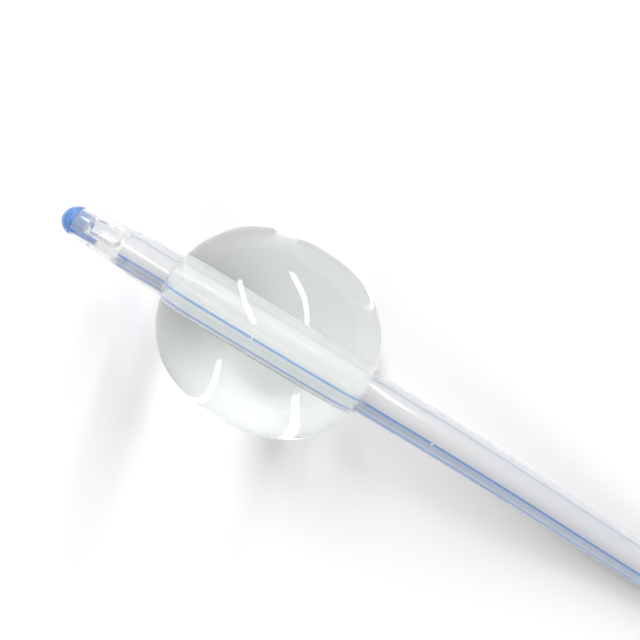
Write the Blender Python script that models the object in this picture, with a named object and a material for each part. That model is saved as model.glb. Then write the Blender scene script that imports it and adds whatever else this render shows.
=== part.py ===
"""A two-way urinary balloon catheter in silicone, lying on a table with its balloon full of water.

The head (tip, drainage eyes and balloon) lies along X with its tip towards -X. The shaft runs
down to the table, out along +X, round one loose loop and back to the drainage funnel, the way
such a slim tube is folded for storage. Units are metres, +Z is up, and the origin is the middle
of the balloon's flat resting spot on the table.
"""

import math

import bmesh
import bpy
from mathutils import Matrix, Vector

MM = 0.001

# Clearances
BOND_GAP = 0.1 * MM  # between silicone or plastic faces that are bonded or seated

# Shaft
SHAFT_OD = 5.33 * MM  # 16 French
SEAT_CUT = 0.225 * MM  # how deep the shaft is ground down under the balloon's sleeve
SHAFT_SHOULDER = 4.0 * MM  # length of the cone from the seat up to the full size
POINT_SPACING = 2.0 * SHAFT_OD

# Moulded tip
TIP_LENGTH = 8.35 * MM
TIP_SWELL = 0.62  # how soon the tip swells from its front to its rear
CAP_LENGTH = 1.75 * MM
CAP_OD = 3.64 * MM
PLUG_OD = 2.3 * MM
PLUG_LENGTH = 1.35 * MM
PEG_OD = 0.7 * MM
PEG_LENGTH = 2.1 * MM
PEG_OFFSET = 1.5 * MM
DRAIN_OFFSET = 0.25 * MM  # the drain lies off centre, away from the inflation lumen
EYE_LENGTH = 4.0 * MM
EYE_WIDTH = 1.8 * MM
EYE_FROM_TIP = 3.8 * MM
EYE_TURN = math.radians(11.0)  # from the top towards +Y
INFLATION_TURN = math.radians(-50.0)  # from the top towards -Y

# Balloon
BALLOON_OD = 24.0 * MM
BALLOON_LENGTH = 26.6 * MM
BALLOON_SQUARENESS = 2.3  # 2 is an ellipse
BALLOON_WALL = 0.25 * MM
FLAT_DEPTH = 0.35 * MM  # how far the balloon is pressed flat by the table
NECK_FROM_TIP = 14.5 * MM
CUFF_WALL = 0.2 * MM
CUFF_LENGTH = 4.8 * MM
COLLAR_WALL = 0.235 * MM  # the rear cuff, which also reaches into the balloon
COLLAR_INSIDE = 3.3 * MM
COLLAR_OUTSIDE = 0.7 * MM
HEAD_TILT = math.radians(4.0)  # the tip points up

# Drainage funnel and its inflation arm, measured along the funnel from where the shaft goes in
FUNNEL_LENGTH = 48.0 * MM
FUNNEL_ENTRY_OD = 7.8 * MM
FUNNEL_WAIST_OD = 9.8 * MM
FUNNEL_WAIST_AT = 20.0 * MM
FUNNEL_MOUTH_OD = 11.8 * MM
FUNNEL_BEAD_RISE = 0.4 * MM  # how far the bead stands out all round
FUNNEL_BEAD_LENGTH = 4.0 * MM
FUNNEL_MOUTH_BORE = 8.6 * MM
FUNNEL_THROAT_BORE = 3.4 * MM
FUNNEL_THROAT_END = 14.0 * MM
SOCKET_DEPTH = 8.8 * MM
ARM_AT = 14.0 * MM
ARM_ANGLE = math.radians(40.0)  # wide enough that the valve socket stands clear of the funnel
ARM_OD = 6.6 * MM
ARM_LENGTH = 23.0 * MM
ARM_SOCKET_OD = 8.2 * MM
ARM_SOCKET_DEPTH = 8.4 * MM
ARM_BORE = 1.4 * MM
ARM_BORE_START = 8.0 * MM
CHANNEL_BORE = 0.8 * MM
FUNNEL_X = 114.0 * MM  # where the shaft goes in
FUNNEL_Y = 9.6 * MM

# Inflation valve, measured along the arm
SHANK_OD = 5.8 * MM
SHANK_INSIDE = 8.0 * MM
RING_OD = 9.2 * MM
RING_LENGTH = 2.0 * MM
FLANGE_OD = 8.8 * MM
FLANGE_LENGTH = 1.2 * MM
VALVE_BODY_OD = 7.0 * MM
LUER_BORE = 4.3 * MM
LUER_DEPTH = 7.5 * MM
LUER_TAPER = 0.06  # on the diameter, for each unit of length
SEAT_BORE = 2.5 * MM
SEAT_LENGTH = 1.2 * MM
CHAMBER_BORE = 4.6 * MM
STEM_OD = 1.7 * MM
STEM_REACH = 2.3 * MM  # how far the stem stands in the Luer socket
HEAD_OD = 3.5 * MM
HEAD_LENGTH = 1.1 * MM
GUIDE_OD = 1.0 * MM
GUIDE_LENGTH = 1.5 * MM
SEAL_OD = 3.8 * MM
SEAL_LENGTH = 1.1 * MM
RETAINER_LENGTH = 1.2 * MM
RETAINER_BORE = 1.4 * MM
SPRING_OD = 2.9 * MM
SPRING_WIRE = 0.4 * MM
SPRING_TURNS = 4.5

# Storage tie
TIE_X = 142.0 * MM
TIE_WIDTH = 4.0 * MM
TIE_THICKNESS = 0.4 * MM
TIE_GAP = 0.3 * MM

# The shaft's way from the head to the funnel, as points chosen by hand
SHAFT_WAY = [
    Vector(point) * MM
    for point in [
        (22.0, 0.0, 9.99),
        (28.0, -0.03, 9.18),
        (34.0, -0.08, 8.07),
        (40.0, -0.15, 6.78),
        (46.0, -0.25, 5.49),
        (52.0, -0.36, 4.35),
        (58.0, -0.47, 3.48),
        (64.0, -0.57, 2.97),
        (70.0, -0.65, 2.76),
        (78.0, -0.74, 2.7),
        (92.0, -0.85, 2.7),
        (106.0, -0.9, 2.7),
        (120.0, -0.8, 2.8),
        (130.0, -0.7, 3.2),
        (136.0, -0.66, 3.37),
        (142.0, -0.66, 3.37),
        (148.0, -0.66, 3.37),
        (154.0, -1.2, 3.2),
        (163.0, -3.1, 2.85),
        (173.0, -5.8, 2.7),
        (182.0, -8.2, 2.7),
        (191.6, -9.4, 2.7),
        (200.0, -8.0, 2.7),
        (206.5, -2.5, 2.7),
        (209.4, 5.6, 2.7),
        (208.0, 14.0, 2.7),
        (202.5, 20.5, 2.7),
        (194.4, 23.4, 2.7),
        (186.0, 22.6, 2.7),
        (176.0, 19.0, 2.75),
        (166.0, 14.0, 2.95),
        (156.0, 9.2, 3.25),
        (148.0, 6.9, 3.37),
        (142.0, 6.6, 3.37),
        (136.0, 6.7, 3.5),
        (130.0, 7.5, 4.2),
        (124.0, 8.8, 5.4),
        (119.0, 9.5, 6.15),
    ]
]

# How finely the round shapes are divided
TURNED_STEPS = 36
SMALL_STEPS = 24
BORE_STEPS = 28
FINE_STEPS = 16  # pegs, channels and each turn of the spring
DOME_STEPS = 8
TIP_RINGS = 10
SLOT_END_STEPS = 8
TIE_END_STEPS = 12
BALLOON_POINTS = 20
WAY_STEPS = 16
WELD = 1e-7


def clear_scene():
    """Take away whatever the file holds before the model is built."""
    for found in list(bpy.data.objects):
        bpy.data.objects.remove(found, do_unlink=True)


def make_material(name, colour, roughness, alpha=1.0, metallic=0.0):
    """Return a Principled material of one colour."""
    made = bpy.data.materials.new(name)
    made.use_nodes = True
    shader = made.node_tree.nodes["Principled BSDF"]
    shader.inputs["Base Color"].default_value = (*colour, 1.0)
    shader.inputs["Roughness"].default_value = roughness
    shader.inputs["Metallic"].default_value = metallic
    shader.inputs["Alpha"].default_value = alpha
    return made


def make_frame(name, matrix, parent=None):
    """Return an empty that carries one local frame."""
    frame = bpy.data.objects.new(name, None)
    bpy.context.collection.objects.link(frame)
    frame.parent = parent
    frame.matrix_local = matrix
    return frame


def add_object(name, mesh, material=None, parent=None):
    """Turn a bmesh into a named object, shaded smooth with sharp corners kept."""
    data = bpy.data.meshes.new(name)
    mesh.to_mesh(data)
    mesh.free()
    data.shade_smooth()
    data.set_sharp_from_angle(angle=math.radians(35.0))
    made = bpy.data.objects.new(name, data)
    bpy.context.collection.objects.link(made)
    made.parent = parent
    if material:
        data.materials.append(material)
    return made


def turned(profile, steps=TURNED_STEPS, ring=False):
    """Spin a profile of (along, radius) points round X. A ring's profile is a closed loop."""
    mesh = bmesh.new()
    points = [mesh.verts.new((along, 0.0, -radius)) for along, radius in profile]
    lines = [mesh.edges.new(pair) for pair in zip(points, points[1:])]
    if ring:
        lines.append(mesh.edges.new((points[-1], points[0])))
    bmesh.ops.spin(
        mesh,
        geom=points + lines,
        cent=(0.0, 0.0, 0.0),
        axis=(1.0, 0.0, 0.0),
        angle=math.tau,
        steps=steps,
        use_merge=True,
    )
    bmesh.ops.remove_doubles(mesh, verts=mesh.verts, dist=WELD)
    bmesh.ops.recalc_face_normals(mesh, faces=mesh.faces)
    return mesh


def offset_edges(mesh, steps, start=Vector(), axis=Vector((1.0, 0.0, 0.0))):
    """Turn a shape by half a step, so that its edges don't lie on those of the shape it meets."""
    turn = Matrix.Rotation(math.pi / steps, 3, axis)
    bmesh.ops.rotate(mesh, cent=start, verts=mesh.verts, matrix=turn)
    return mesh


def rod(start, end, radius, steps=SMALL_STEPS):
    """Return a plain round rod between two points."""
    mesh = bmesh.new()
    way = end - start
    turn = way.to_track_quat("Z", "Y").to_matrix().to_4x4()
    bmesh.ops.create_cone(
        mesh,
        cap_ends=True,
        segments=steps,
        radius1=radius,
        radius2=radius,
        depth=way.length,
        matrix=Matrix.Translation((start + end) / 2) @ turn,
    )
    return mesh


def make_guide(name, mesh, parent=None):
    """Make an object that only cuts or joins others."""
    guide = add_object(name, mesh, parent=parent)
    guide.hide_render = True
    guide.display_type = "WIRE"
    return guide


def combine(target, guide, operation):
    """Cut the target by a guide, or join the guide to it."""
    step = target.modifiers.new(guide.name, "BOOLEAN")
    step.operation = operation
    step.solver = "EXACT"
    step.object = guide


def around(radius, turn):
    """Return the offset at a radius and a turn from the top, positive towards +Y."""
    return Vector((0.0, radius * math.sin(turn), radius * math.cos(turn)))


def seat_radius():
    """Return the radius of the ground seat, which the tip and the sleeve share."""
    return SHAFT_OD / 2 - SEAT_CUT


def collar_radius():
    """Return the outer radius of the rear cuff, which goes over the full shaft."""
    return SHAFT_OD / 2 + BOND_GAP + COLLAR_WALL


def half_length():
    """Return half the balloon's length."""
    return BALLOON_LENGTH / 2


def tip_end():
    """Return where the tip ends, along the head from the balloon's middle."""
    return -half_length() - NECK_FROM_TIP


def balloon_height():
    """Return the height of the balloon's middle over the table."""
    return BALLOON_OD / 2 - FLAT_DEPTH


def head_matrix():
    """Return the frame of the head: X along the catheter towards its tail."""
    place = Matrix.Translation((0.0, 0.0, balloon_height()))
    return place @ Matrix.Rotation(HEAD_TILT, 4, "Y")


def bead_radius():
    """Return the outer radius of the bead at the funnel's mouth, which rests on the table."""
    return FUNNEL_MOUTH_OD / 2 + FUNNEL_BEAD_RISE


def hub_matrix():
    """Return the frame of the funnel: X from the shaft's entry to the mouth."""
    place = Vector((FUNNEL_X, FUNNEL_Y, bead_radius()))
    return Matrix.Translation(place) @ Matrix.Rotation(math.pi, 4, "Z")


def arm_matrix():
    """Return the frame of the inflation arm in the funnel's frame: X out along the arm."""
    place = Matrix.Translation((ARM_AT, 0.0, 0.0))
    return place @ Matrix.Rotation(-ARM_ANGLE, 4, "Z")


def balloon_curve(inset, front_radius, rear_radius):
    """Return (along, radius) points down the balloon's length, from one neck to the other."""
    length = half_length() - inset
    radius = BALLOON_OD / 2 - inset
    power = 2 / BALLOON_SQUARENESS
    start = math.asin((front_radius / radius) ** (1 / power))
    end = math.pi - math.asin((rear_radius / radius) ** (1 / power))
    points = []
    for step in range(BALLOON_POINTS + 1):
        angle = start + (end - start) * step / BALLOON_POINTS
        reach = math.copysign(abs(math.cos(angle)) ** power, -math.cos(angle))
        points.append((length * reach, radius * math.sin(angle) ** power))
    return points


def press_flat(mesh, frame, limit):
    """Press a mesh in the head's frame flat where it would reach below the table.

    limit gives, for a point's length and radius, the lowest height that it may have.
    """
    back = frame.inverted()
    for point in mesh.verts:
        radius = math.hypot(point.co.y, point.co.z)
        lowest = limit(point.co.x, radius)
        world = frame @ point.co
        if world.z < lowest:
            world.z = lowest
            point.co = back @ world


def seat_rear():
    """Return where the shaft's ground seat ends, along the head."""
    return half_length() - COLLAR_INSIDE


def cuff_rear():
    """Return where the sleeve's rear cuff ends, along the head."""
    return half_length() + COLLAR_OUTSIDE


def make_tip_cap(head, material):
    """The rounded blue cap with the plug and the peg that close both lumens."""
    front = tip_end()
    dome = []
    for step in range(DOME_STEPS + 1):
        angle = math.pi / 2 * step / DOME_STEPS
        along = front + CAP_LENGTH * (1 - math.cos(angle))
        dome.append((along, CAP_OD / 2 * math.sin(angle)))
    rear = front + CAP_LENGTH
    cap = add_object("tip_cap", turned(dome + [(rear, 0.0)]), material, head)
    away = -around(DRAIN_OFFSET, INFLATION_TURN)
    plug_start = Vector((rear - CAP_LENGTH / 3, 0.0, 0.0)) + away
    plug_end = Vector((rear + PLUG_LENGTH, 0.0, 0.0)) + away
    plug = make_guide("plug_shape", rod(plug_start, plug_end, PLUG_OD / 2), head)
    peg_start = Vector((rear - CAP_LENGTH / 3, 0.0, 0.0)) + around(PEG_OFFSET, INFLATION_TURN)
    peg_end = peg_start + Vector((CAP_LENGTH / 3 + PLUG_LENGTH + PEG_LENGTH, 0.0, 0.0))
    peg = make_guide("peg_shape", rod(peg_start, peg_end, PEG_OD / 2, FINE_STEPS), head)
    combine(cap, plug, "UNION")
    combine(cap, peg, "UNION")


def tip_radius(from_front):
    """Return the clear section's outer radius, at a share of its length from its front."""
    return CAP_OD / 2 + (seat_radius() - CAP_OD / 2) * from_front**TIP_SWELL


def make_eye_section(head, material):
    """The clear moulded section behind the cap, with the drain and two opposite eyes."""
    front = tip_end() + CAP_LENGTH + BOND_GAP
    rear = tip_end() + TIP_LENGTH
    outline = [(front, 0.0)]
    for step in range(TIP_RINGS + 1):
        share = (step / TIP_RINGS) ** 1.5  # closer together at the front, where it swells most
        outline.append((front + (rear - front) * share, tip_radius(share)))
    outline.append((rear, 0.0))
    section = add_object("tip_eye_section", turned(outline), material, head)
    over = CAP_LENGTH
    away = -around(DRAIN_OFFSET, INFLATION_TURN)
    drain = rod(
        Vector((front - over, 0.0, 0.0)) + away,
        Vector((rear + over, 0.0, 0.0)) + away,
        PLUG_OD / 2 + BOND_GAP,
    )
    combine(section, make_guide("drain_cut", drain, head), "DIFFERENCE")
    side = around(PEG_OFFSET, INFLATION_TURN)
    peg_rear = front + PLUG_LENGTH + PEG_LENGTH + BOND_GAP
    peg_hole = rod(
        Vector((front - over, 0.0, 0.0)) + side,
        Vector((peg_rear, 0.0, 0.0)) + side,
        PEG_OD / 2 + BOND_GAP,
        FINE_STEPS,
    )
    combine(section, make_guide("peg_cut", peg_hole, head), "DIFFERENCE")
    eyes = slot_cutter(tip_end() + EYE_FROM_TIP, EYE_LENGTH, EYE_WIDTH, SHAFT_OD, EYE_TURN)
    combine(section, make_guide("eye_cut", eyes, head), "DIFFERENCE")


def slot_cutter(start, length, width, reach, turn):
    """Return a long round-ended bar through the axis, at a turn from the top."""
    mesh = bmesh.new()
    radius = width / 2
    outline = []
    for middle, first in ((start + length - radius, -math.pi / 2), (start + radius, math.pi / 2)):
        for step in range(SLOT_END_STEPS + 1):
            angle = first + math.pi * step / SLOT_END_STEPS
            outline.append((middle + radius * math.cos(angle), radius * math.sin(angle)))
    low = [mesh.verts.new((along, side, -reach)) for along, side in outline]
    face = mesh.faces.new(low)
    raised = bmesh.ops.extrude_face_region(mesh, geom=[face])["geom"]
    tops = [item for item in raised if isinstance(item, bmesh.types.BMVert)]
    bmesh.ops.translate(mesh, verts=tops, vec=(0.0, 0.0, 2 * reach))
    bmesh.ops.recalc_face_normals(mesh, faces=mesh.faces)
    bmesh.ops.rotate(mesh, verts=mesh.verts, matrix=Matrix.Rotation(-turn, 3, "X"))
    return mesh


def make_sleeve(head, frame, material):
    """The balloon: one silicone sleeve with a bonded cuff at each end."""
    bore = seat_radius() + BOND_GAP
    full_bore = SHAFT_OD / 2 + BOND_GAP
    neck = bore + CUFF_WALL
    collar = collar_radius()
    outer = balloon_curve(0.0, neck, collar)
    inner = balloon_curve(BALLOON_WALL, bore + CUFF_WALL / 2, collar)
    cuff_front = -half_length() - CUFF_LENGTH
    lip = CUFF_WALL / 2
    profile = [(cuff_front, bore), (cuff_front, bore + lip / 2)]
    profile += [(cuff_front + CUFF_LENGTH / 3, neck)]
    profile += outer
    profile += [(cuff_rear() - lip, collar), (cuff_rear(), collar - lip)]
    profile += [(cuff_rear(), full_bore), (seat_rear(), bore)]
    profile += [(seat_rear(), collar - lip), (seat_rear() + lip, collar)]
    profile += inner[::-1]
    profile += [(inner[0][0], bore)]
    mesh = turned(profile, ring=True)
    shell = (1 - BALLOON_WALL / BALLOON_OD) ** BALLOON_SQUARENESS

    def limit(along, radius):
        filled = (abs(along) / half_length()) ** BALLOON_SQUARENESS
        filled += (radius / (BALLOON_OD / 2)) ** BALLOON_SQUARENESS
        return 0.0 if filled > shell else BALLOON_WALL

    press_flat(mesh, frame, limit)
    add_object("balloon_sleeve", mesh, material, head)


def make_fill(head, frame, material):
    """The water in the balloon, as one body round the shaft."""
    inset = BALLOON_WALL + BOND_GAP
    bore = seat_radius() + BOND_GAP
    past_collar = collar_radius() + BOND_GAP
    outer = balloon_curve(inset, bore + CUFF_WALL, past_collar)
    profile = [(outer[0][0], bore)] + outer
    profile += [(seat_rear() - BOND_GAP, past_collar), (seat_rear() - BOND_GAP, bore)]
    mesh = turned(profile, ring=True)
    press_flat(mesh, frame, lambda along, radius: inset)
    add_object("balloon_fill", mesh, material, head)


def smooth_way(points):
    """Return a dense line through the points, as a Catmull-Rom curve."""
    line = []
    for index in range(1, len(points) - 2):
        before, start, end, after = points[index - 1 : index + 3]
        for step in range(WAY_STEPS):
            t = step / WAY_STEPS
            line.append(
                0.5
                * (
                    2 * start
                    + (end - before) * t
                    + (2 * before - 5 * start + 4 * end - after) * t**2
                    + (3 * start - before - 3 * end + after) * t**3
                )
            )
    line.append(points[-2])
    return line


def spaced(line, spacing):
    """Return points evenly spaced along a dense line, about a spacing apart."""
    lengths = [0.0]
    for start, end in zip(line, line[1:]):
        lengths.append(lengths[-1] + (end - start).length)
    count = round(lengths[-1] / spacing)
    points = []
    at = 0
    for step in range(count + 1):
        target = lengths[-1] * step / count
        while at < len(line) - 2 and lengths[at + 1] < target:
            at += 1
        share = (target - lengths[at]) / (lengths[at + 1] - lengths[at])
        points.append(line[at].lerp(line[at + 1], share))
    return points


def shaft_line():
    """Return the shaft's points, each with its share of the full radius."""
    head = head_matrix()
    hub = hub_matrix()
    seat = seat_radius() / (SHAFT_OD / 2)
    front = tip_end() + TIP_LENGTH + BOND_GAP
    shoulder = seat_rear() + SHAFT_SHOULDER
    straight = [(front, seat), (0.0, seat), (seat_rear(), seat), (shoulder, 1.0)]
    line = [(head @ Vector((along, 0.0, 0.0)), size) for along, size in straight]
    run_out = shoulder + SHAFT_OD / 2
    socket_end = SOCKET_DEPTH - BOND_GAP
    ends = [hub @ Vector((along, 0.0, 0.0)) for along in (-SHAFT_OD / 2, 0.0)]
    way = [
        head @ Vector((seat_rear(), 0.0, 0.0)),
        head @ Vector((run_out, 0.0, 0.0)),
        *SHAFT_WAY,
        *ends,
    ]
    line += [(point, 1.0) for point in spaced(smooth_way(way), POINT_SPACING)]
    line.append((hub @ Vector((0.0, 0.0, 0.0)), 1.0))
    line.append((hub @ Vector((socket_end, 0.0, 0.0)), 1.0))
    return line


def make_shaft(material):
    """The long two-lumen tube, as one plain round tube along its way."""
    line = shaft_line()
    curve = bpy.data.curves.new("catheter_shaft", "CURVE")
    curve.dimensions = "3D"
    curve.bevel_depth = SHAFT_OD / 2
    curve.bevel_resolution = 4
    curve.use_fill_caps = True
    spline = curve.splines.new("POLY")
    spline.points.add(len(line) - 1)
    for place, (point, size) in zip(spline.points, line):
        place.co = (*point, 1.0)
        place.radius = size
    spline.use_smooth = True
    curve.materials.append(material)
    made = bpy.data.objects.new("catheter_shaft", curve)
    bpy.context.collection.objects.link(made)


def make_funnel(hub, arm, material):
    """The moulded funnel with its side arm, bored for the shaft, the drain and the valve."""
    bead_start = FUNNEL_LENGTH - FUNNEL_BEAD_LENGTH
    edge = FUNNEL_BEAD_RISE
    outline = [
        (0.0, 0.0),
        (0.0, FUNNEL_ENTRY_OD / 2 - edge),
        (edge, FUNNEL_ENTRY_OD / 2),
        (FUNNEL_WAIST_AT, FUNNEL_WAIST_OD / 2),
        (bead_start - edge, FUNNEL_MOUTH_OD / 2),
        (bead_start, bead_radius()),
        (FUNNEL_LENGTH - edge, bead_radius()),
        (FUNNEL_LENGTH, FUNNEL_MOUTH_OD / 2),
        (FUNNEL_LENGTH, 0.0),
    ]
    funnel = add_object("drainage_funnel", turned(outline), material, hub)
    arm_flare = ARM_LENGTH - ARM_SOCKET_DEPTH
    arm_outline = [
        (0.0, 0.0),
        (0.0, ARM_OD / 2),
        (arm_flare - edge, ARM_OD / 2),
        (arm_flare + edge, ARM_SOCKET_OD / 2),
        (ARM_LENGTH - edge / 2, ARM_SOCKET_OD / 2),
        (ARM_LENGTH, ARM_SOCKET_OD / 2 - edge / 2),
        (ARM_LENGTH, 0.0),
    ]
    arm_shape = offset_edges(turned(arm_outline, BORE_STEPS), BORE_STEPS)
    combine(funnel, make_guide("arm_shape", arm_shape, arm), "UNION")
    over = SHAFT_OD
    throat_open = FUNNEL_THROAT_END + FUNNEL_THROAT_BORE
    socket = SHAFT_OD / 2 + BOND_GAP
    rise = (FUNNEL_MOUTH_BORE - SHAFT_OD) / 2 / (FUNNEL_LENGTH - throat_open)
    bore = [
        (-over, 0.0),
        (-over, socket),
        (SOCKET_DEPTH, socket),
        (SOCKET_DEPTH, FUNNEL_THROAT_BORE / 2),
        (FUNNEL_THROAT_END, FUNNEL_THROAT_BORE / 2),
        (throat_open, SHAFT_OD / 2),
        (FUNNEL_LENGTH, FUNNEL_MOUTH_BORE / 2),
        (FUNNEL_LENGTH + over, FUNNEL_MOUTH_BORE / 2 + rise * over),
        (FUNNEL_LENGTH + over, 0.0),
    ]
    drain_shape = offset_edges(turned(bore, BORE_STEPS), BORE_STEPS)
    combine(funnel, make_guide("drain_bore", drain_shape, hub), "DIFFERENCE")
    arm_socket = SHANK_OD / 2 + BOND_GAP
    arm_bore = [
        (ARM_BORE_START, 0.0),
        (ARM_BORE_START, ARM_BORE / 2),
        (arm_flare, ARM_BORE / 2),
        (arm_flare, arm_socket),
        (ARM_LENGTH + over, arm_socket),
        (ARM_LENGTH + over, 0.0),
    ]
    bore_shape = offset_edges(turned(arm_bore, BORE_STEPS), BORE_STEPS)
    combine(funnel, make_guide("arm_bore", bore_shape, arm), "DIFFERENCE")
    # the channel runs from the middle of the step round the throat to the middle of the arm bore's end
    outlet = Vector((SOCKET_DEPTH, -(socket + FUNNEL_THROAT_BORE / 2) / 2, 0.0))
    inlet = arm_matrix() @ Vector((ARM_BORE_START, 0.0, 0.0))
    way = (inlet - outlet).normalized()
    start = outlet - way * CHANNEL_BORE
    end = inlet + way * (CHANNEL_BORE / 2)
    channel = rod(start, end, CHANNEL_BORE / 2, FINE_STEPS)
    channel = offset_edges(channel, FINE_STEPS, start, way)
    combine(funnel, make_guide("inflation_channel", channel, hub), "DIFFERENCE")


def valve_places():
    """Return the stations of the valve's pieces along the arm."""
    shank_start = ARM_LENGTH - SHANK_INSIDE
    ring_start = ARM_LENGTH + BOND_GAP
    flange_start = ring_start + RING_LENGTH + BOND_GAP
    mouth = flange_start + LUER_DEPTH
    seat_end = mouth - LUER_DEPTH
    seat_start = seat_end - SEAT_LENGTH
    seal_start = seat_start - BOND_GAP - SEAL_LENGTH
    head_end = seal_start - BOND_GAP
    return {
        "shank": shank_start,
        "ring": ring_start,
        "flange": flange_start,
        "mouth": mouth,
        "seat_end": seat_end,
        "seat": seat_start,
        "seal": seal_start,
        "head_end": head_end,
        "head": head_end - HEAD_LENGTH,
    }


def make_housing(arm, at, material):
    """The valve's body: a shank in the arm, a flange and a tapered Luer socket."""
    shank = SHANK_OD / 2
    body = VALVE_BODY_OD / 2
    flange_end = at["flange"] + FLANGE_LENGTH
    luer_floor = (LUER_BORE - LUER_DEPTH * LUER_TAPER) / 2
    profile = [
        (at["shank"], CHAMBER_BORE / 2),
        (at["shank"], shank),
        (at["flange"], shank),
        (at["flange"], FLANGE_OD / 2),
        (flange_end, FLANGE_OD / 2),
        (flange_end, body),
        (at["mouth"], body),
        (at["mouth"], LUER_BORE / 2),
        (at["seat_end"], luer_floor),
        (at["seat_end"], SEAT_BORE / 2),
        (at["seat"], SEAT_BORE / 2),
        (at["seat"], CHAMBER_BORE / 2),
    ]
    add_object("valve_housing", turned(profile, BORE_STEPS, ring=True), material, arm)


def make_size_ring(arm, at, material):
    """The coloured ring between the arm and the flange, which shows the catheter's size."""
    bore = SHANK_OD / 2 + BOND_GAP
    outer = RING_OD / 2
    edge = RING_LENGTH / 6
    end = at["ring"] + RING_LENGTH
    profile = [
        (at["ring"], bore),
        (at["ring"], outer - edge),
        (at["ring"] + edge, outer),
        (end - edge, outer),
        (end, outer - edge),
        (end, bore),
    ]
    add_object("size_ring", turned(profile, BORE_STEPS, ring=True), material, arm)


def make_plunger(arm, at, material):
    """The check plunger: a stem in the Luer socket, a head and a guide in the spring."""
    stem_end = at["seat_end"] + STEM_REACH
    guide_start = at["head"] - GUIDE_LENGTH
    profile = [
        (guide_start, 0.0),
        (guide_start, GUIDE_OD / 2),
        (at["head"], GUIDE_OD / 2),
        (at["head"], HEAD_OD / 2),
        (at["head_end"], HEAD_OD / 2),
        (at["head_end"], STEM_OD / 2),
        (stem_end, STEM_OD / 2),
        (stem_end, 0.0),
    ]
    add_object("valve_plunger", turned(profile, SMALL_STEPS), material, arm)


def make_seal(arm, at, material):
    """The rubber washer on the stem, which closes against the seat."""
    bore = STEM_OD / 2 + BOND_GAP
    profile = [
        (at["seal"], bore),
        (at["seal"], SEAL_OD / 2),
        (at["seal"] + SEAL_LENGTH, SEAL_OD / 2),
        (at["seal"] + SEAL_LENGTH, bore),
    ]
    add_object("valve_seal", turned(profile, SMALL_STEPS, ring=True), material, arm)


def make_retainer(arm, at, material):
    """The pierced disc at the shank's end that holds the spring in."""
    outer = CHAMBER_BORE / 2 - BOND_GAP
    end = at["shank"] + RETAINER_LENGTH
    profile = [
        (at["shank"], RETAINER_BORE / 2),
        (at["shank"], outer),
        (end, outer),
        (end, RETAINER_BORE / 2),
    ]
    add_object("valve_retainer", turned(profile, SMALL_STEPS, ring=True), material, arm)


def make_spring(arm, at, material):
    """The coil spring between the retainer and the plunger's head."""
    wire = SPRING_WIRE / 2
    start = at["shank"] + RETAINER_LENGTH + BOND_GAP + wire
    end = at["head"] - BOND_GAP - wire
    radius = SPRING_OD / 2 - wire
    steps = round(SPRING_TURNS * FINE_STEPS)
    curve = bpy.data.curves.new("valve_spring", "CURVE")
    curve.dimensions = "3D"
    curve.bevel_depth = wire
    curve.bevel_resolution = 2
    curve.use_fill_caps = True
    spline = curve.splines.new("POLY")
    spline.points.add(steps)
    for step, place in enumerate(spline.points):
        share = step / steps
        angle = math.tau * SPRING_TURNS * share
        along = start + (end - start) * share
        place.co = (along, radius * math.cos(angle), radius * math.sin(angle), 1.0)
    spline.use_smooth = True
    curve.materials.append(material)
    made = bpy.data.objects.new("valve_spring", curve)
    bpy.context.collection.objects.link(made)
    made.parent = arm


def crossings(along):
    """Return where the shaft's line passes a place along X, the outgoing run first."""
    line = [point for point, _ in shaft_line()]
    return [
        start.lerp(end, (along - start.x) / (end.x - start.x))
        for start, end in zip(line, line[1:])
        if min(start.x, end.x) <= along < max(start.x, end.x)
    ]


def make_tie(material):
    """The flat band that holds the two runs of the folded shaft together."""
    first_run, second_run = crossings(TIE_X)[:2]
    middle = (first_run + second_run) / 2
    apart = second_run - first_run
    half = apart.length / 2
    side = apart.normalized()
    up = Vector((1.0, 0.0, 0.0)).cross(side)
    mesh = bmesh.new()
    rings = []
    for gap in (TIE_GAP, TIE_GAP + TIE_THICKNESS):
        radius = SHAFT_OD / 2 + gap
        ring = []
        for reach, first in ((half, -math.pi / 2), (-half, math.pi / 2)):
            for step in range(TIE_END_STEPS + 1):
                angle = first + math.pi * step / TIE_END_STEPS
                point = middle + side * (reach + radius * math.cos(angle))
                point += up * (radius * math.sin(angle))
                point.x = TIE_X - TIE_WIDTH / 2
                ring.append(mesh.verts.new(point))
        rings.append(ring)
    count = len(rings[0])
    faces = []
    for index in range(count):
        after = (index + 1) % count
        corners = (rings[0][index], rings[0][after], rings[1][after], rings[1][index])
        faces.append(mesh.faces.new(corners))
    raised = bmesh.ops.extrude_face_region(mesh, geom=faces)["geom"]
    moved = [item for item in raised if isinstance(item, bmesh.types.BMVert)]
    bmesh.ops.translate(mesh, verts=moved, vec=(TIE_WIDTH, 0.0, 0.0))
    bmesh.ops.recalc_face_normals(mesh, faces=mesh.faces)
    add_object("storage_tie", mesh, material)


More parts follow.
